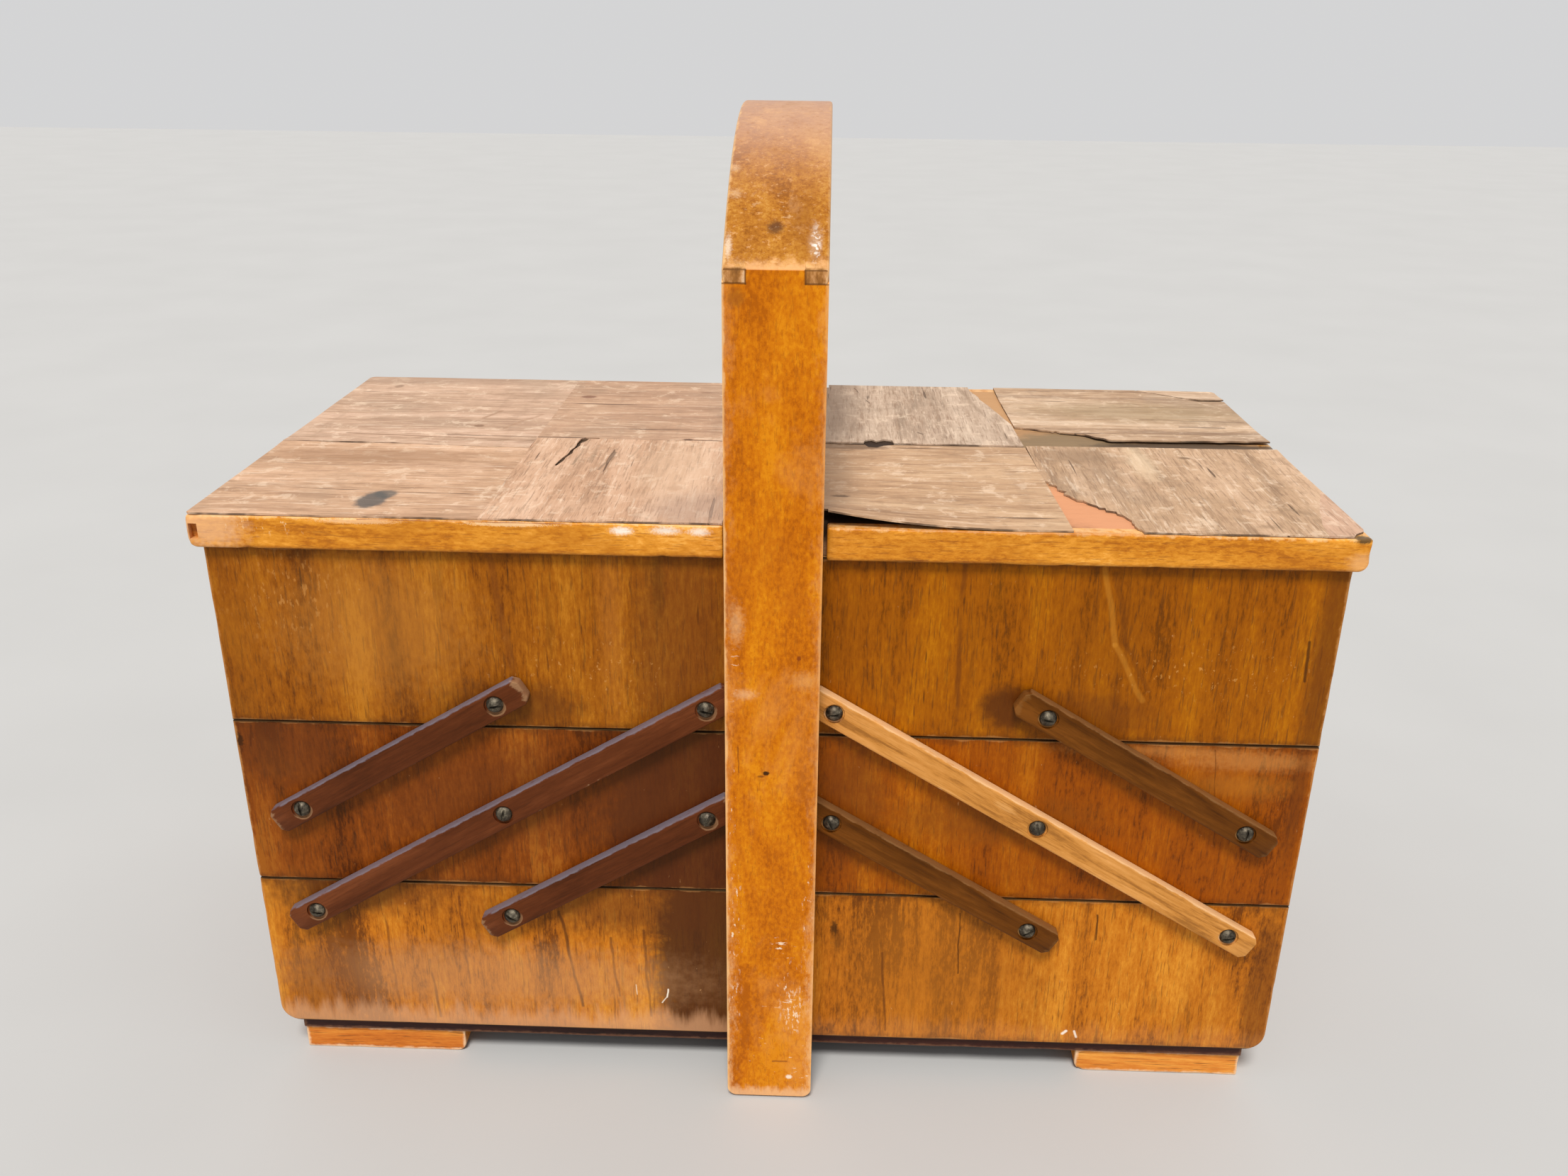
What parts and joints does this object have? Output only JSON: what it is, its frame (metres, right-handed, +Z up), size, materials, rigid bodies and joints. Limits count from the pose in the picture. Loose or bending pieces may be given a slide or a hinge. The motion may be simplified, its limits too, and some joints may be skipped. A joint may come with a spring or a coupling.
{
  "type": "cantilever sewing box",
  "caption": "Wooden cantilever sewing box with stacked trays that fold out sideways on parallel links, hinged veneered lids and a fixed bow handle.",
  "frame": {"origin": "on the table under the centre of the box, at the bottom of the feet", "axes": "+X to the right along the box's length, +Y from the front to the back, +Z up; the front with the plainer view of the links faces -Y"},
  "size_m": [0.4272, 0.24, 0.3895],
  "materials": {
    "tray_wood": "worn varnished walnut-stained veneer with vertical grain",
    "inner_wood": "bare plywood",
    "base_wood": "dark stained plywood",
    "foot_wood": "varnished, worn at the edges",
    "handle_wood": "clear varnished beech, worn pale at the edges",
    "edging_wood": "clear varnished, worn pale at the edges",
    "lid_board_wood": "bare wood",
    "lid_veneer": "faded dry veneer, cracked and lifting",
    "dark_link_wood": "dark purple-brown stain, worn at the edges",
    "brown_link_wood": "brown stain, worn at the edges",
    "light_link_wood": "bare light hardwood, a newer replacement",
    "screw_steel": "darkened slotted wood screws",
    "hinge_brass": "dull brass"
  },
  "bodies": {
    "base": {"base_board": "base_wood", "feet": "foot_wood", "bottom_tray_front": "tray_wood", "bottom_tray_back": "tray_wood", "bottom_tray_ends": "tray_wood", "front_post": "handle_wood", "back_post": "handle_wood", "handle_bow": "handle_wood", "post_spacers": "dark_link_wood", "post_screws": "screw_steel", "bottom_pivot_screws": "screw_steel"},
    "left_long_links": {"left_long_link_front": "dark_link_wood", "left_long_link_back": "dark_link_wood"},
    "left_middle_tray": {"left_middle_tray_front": "tray_wood", "left_middle_tray_back": "tray_wood", "left_middle_tray_ends": "tray_wood", "left_middle_tray_floor": "inner_wood", "left_middle_pivot_screws": "screw_steel"},
    "left_top_tray": {"left_top_tray_front": "tray_wood", "left_top_tray_back": "tray_wood", "left_top_tray_ends": "tray_wood", "left_top_tray_floor": "inner_wood", "left_top_tray_rail": "lid_board_wood", "left_top_pivot_screws": "screw_steel", "left_hinge_rail_leaves": "hinge_brass", "left_hinge_rail_screws": "hinge_brass"},
    "left_lower_links": {"left_lower_link_front": "dark_link_wood", "left_lower_link_back": "dark_link_wood"},
    "left_upper_links": {"left_upper_link_front": "dark_link_wood", "left_upper_link_back": "dark_link_wood"},
    "left_lid": {"left_lid_panel": "lid_board_wood", "left_lid_edging": "edging_wood", "left_lid_veneer": "lid_veneer", "left_hinge_lid_leaves": "hinge_brass", "left_hinge_lid_screws": "hinge_brass"},
    "right_long_links": {"right_long_link_front": "light_link_wood", "right_long_link_back": "dark_link_wood"},
    "right_middle_tray": {"right_middle_tray_front": "tray_wood", "right_middle_tray_back": "tray_wood", "right_middle_tray_ends": "tray_wood", "right_middle_tray_floor": "inner_wood", "right_middle_pivot_screws": "screw_steel"},
    "right_top_tray": {"right_top_tray_front": "tray_wood", "right_top_tray_back": "tray_wood", "right_top_tray_ends": "tray_wood", "right_top_tray_floor": "inner_wood", "right_top_tray_rail": "lid_board_wood", "right_top_pivot_screws": "screw_steel", "right_hinge_rail_leaves": "hinge_brass", "right_hinge_rail_screws": "hinge_brass"},
    "right_lower_links": {"right_lower_link_front": "brown_link_wood", "right_lower_link_back": "dark_link_wood"},
    "right_upper_links": {"right_upper_link_front": "brown_link_wood", "right_upper_link_back": "dark_link_wood"},
    "right_lid": {"right_lid_panel": "lid_board_wood", "right_lid_edging": "edging_wood", "right_lid_veneer": "lid_veneer", "right_hinge_lid_leaves": "hinge_brass", "right_hinge_lid_screws": "hinge_brass"}
  },
  "joints": [
    {"name": "left_unfold", "type": "hinge", "parent": "base", "child": "left_long_links", "pos_m": [-0.1858, 0, 0.0788], "axis": [0, -1, 0], "range_deg": [0, 117.7]},
    {"name": "left_middle_tray_pivot", "type": "hinge", "parent": "left_long_links", "child": "left_middle_tray", "pos_m": [-0.1051, 0, 0.12743], "axis": [0, -1, 0], "range_deg": [-117.7, 0]},
    {"name": "left_top_tray_pivot", "type": "hinge", "parent": "left_long_links", "child": "left_top_tray", "pos_m": [-0.0244, 0, 0.17605], "axis": [0, -1, 0], "range_deg": [-117.7, 0]},
    {"name": "left_lower_link_pivot", "type": "hinge", "parent": "base", "child": "left_lower_links", "pos_m": [-0.1051, 0, 0.0788], "axis": [0, -1, 0], "range_deg": [0, 117.7]},
    {"name": "left_upper_link_pivot", "type": "hinge", "parent": "left_middle_tray", "child": "left_upper_links", "pos_m": [-0.1858, 0, 0.12743], "axis": [0, -1, 0], "range_deg": [0, 117.7]},
    {"name": "left_lid_hinge", "type": "hinge", "parent": "left_top_tray", "child": "left_lid", "pos_m": [-0.0122, 0, 0.253], "axis": [0, 1, 0], "range_deg": [0, 86]},
    {"name": "right_unfold", "type": "hinge", "parent": "base", "child": "right_long_links", "pos_m": [0.1858, 0, 0.0788], "axis": [0, 1, 0], "range_deg": [0, 117.7]},
    {"name": "right_middle_tray_pivot", "type": "hinge", "parent": "right_long_links", "child": "right_middle_tray", "pos_m": [0.1051, 0, 0.12743], "axis": [0, 1, 0], "range_deg": [-117.7, 0]},
    {"name": "right_top_tray_pivot", "type": "hinge", "parent": "right_long_links", "child": "right_top_tray", "pos_m": [0.0244, 0, 0.17605], "axis": [0, 1, 0], "range_deg": [-117.7, 0]},
    {"name": "right_lower_link_pivot", "type": "hinge", "parent": "base", "child": "right_lower_links", "pos_m": [0.1051, 0, 0.0788], "axis": [0, 1, 0], "range_deg": [0, 117.7]},
    {"name": "right_upper_link_pivot", "type": "hinge", "parent": "right_middle_tray", "child": "right_upper_links", "pos_m": [0.1858, 0, 0.12743], "axis": [0, 1, 0], "range_deg": [0, 117.7]},
    {"name": "right_lid_hinge", "type": "hinge", "parent": "right_top_tray", "child": "right_lid", "pos_m": [0.0122, 0, 0.253], "axis": [0, -1, 0], "range_deg": [0, 86]}
  ],
  "couplings": [
    {"joint": "left_middle_tray_pivot", "follows": "left_unfold", "ratio": -1},
    {"joint": "left_top_tray_pivot", "follows": "left_unfold", "ratio": -1},
    {"joint": "left_lower_link_pivot", "follows": "left_unfold", "ratio": 1},
    {"joint": "left_upper_link_pivot", "follows": "left_unfold", "ratio": 1},
    {"joint": "right_middle_tray_pivot", "follows": "right_unfold", "ratio": -1},
    {"joint": "right_top_tray_pivot", "follows": "right_unfold", "ratio": -1},
    {"joint": "right_lower_link_pivot", "follows": "right_unfold", "ratio": 1},
    {"joint": "right_upper_link_pivot", "follows": "right_unfold", "ratio": 1}
  ]
}
